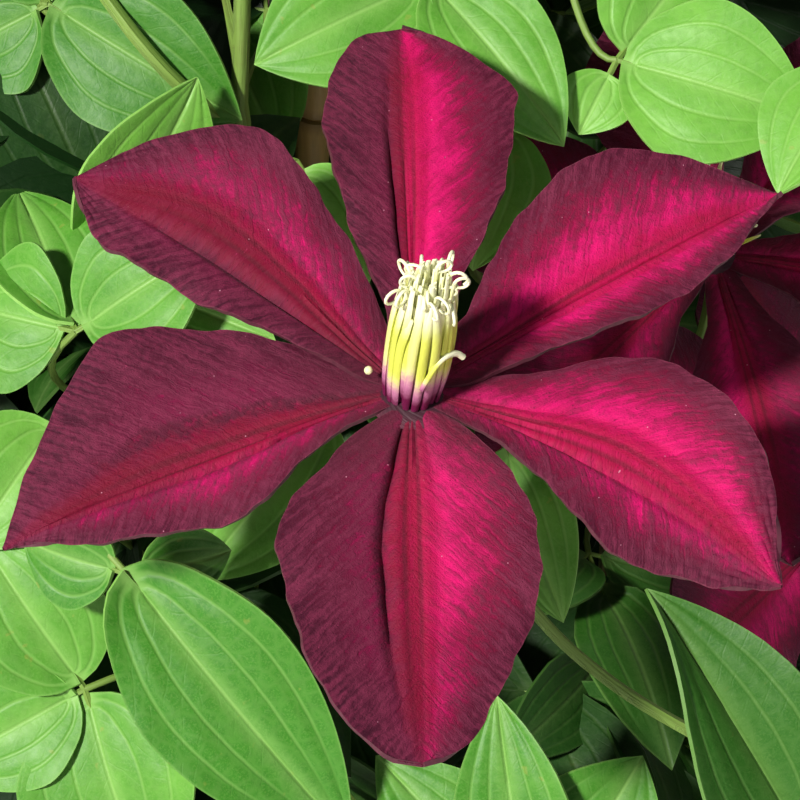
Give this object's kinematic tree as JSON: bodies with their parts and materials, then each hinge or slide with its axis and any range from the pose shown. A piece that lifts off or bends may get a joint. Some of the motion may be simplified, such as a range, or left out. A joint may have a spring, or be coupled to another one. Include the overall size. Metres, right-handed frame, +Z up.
{
  "type": "potted clematis",
  "caption": "Climbing plant in a clay pot: leafy twining stems on a tripod of canes, with large open blooms of pointed sepals and slim buds.",
  "frame": {"origin": "middle of the pot's flat underside", "axes": "+Z up along the pot's axis, -Y towards the front bloom, +X to the right of it"},
  "size_m": [0.2901, 0.3336, 0.6579],
  "materials": {
    "clay": "unglazed terracotta, matte",
    "soil": "damp dark compost with bark",
    "cane": "bamboo, satin",
    "twine": "rough jute",
    "foliage": "fresh green leaf, half matte",
    "sepal": "velvety crimson to purple",
    "stamen": "ivory and yellow-green, matte",
    "bud": "downy, dull red and green"
  },
  "bodies": {
    "root": {"pot": "clay", "soil": "soil", "tie": "twine", "cane_1": "cane", "cane_2": "cane", "cane_3": "cane", "vine_left": "foliage", "vine_right": "foliage", "vine_back": "foliage", "bloom_1_sepals": "sepal", "bloom_1_boss": "stamen", "bloom_2_sepals": "sepal", "bloom_2_boss": "stamen", "bloom_3_sepals": "sepal", "bloom_3_boss": "stamen", "bloom_4_sepals": "sepal", "bloom_4_boss": "stamen", "bloom_5_sepals": "sepal", "bloom_5_boss": "stamen", "bloom_6_sepals": "sepal", "bloom_6_boss": "stamen", "bud_1": "bud", "bud_2": "bud", "bud_3": "bud"}
  },
  "joints": []
}
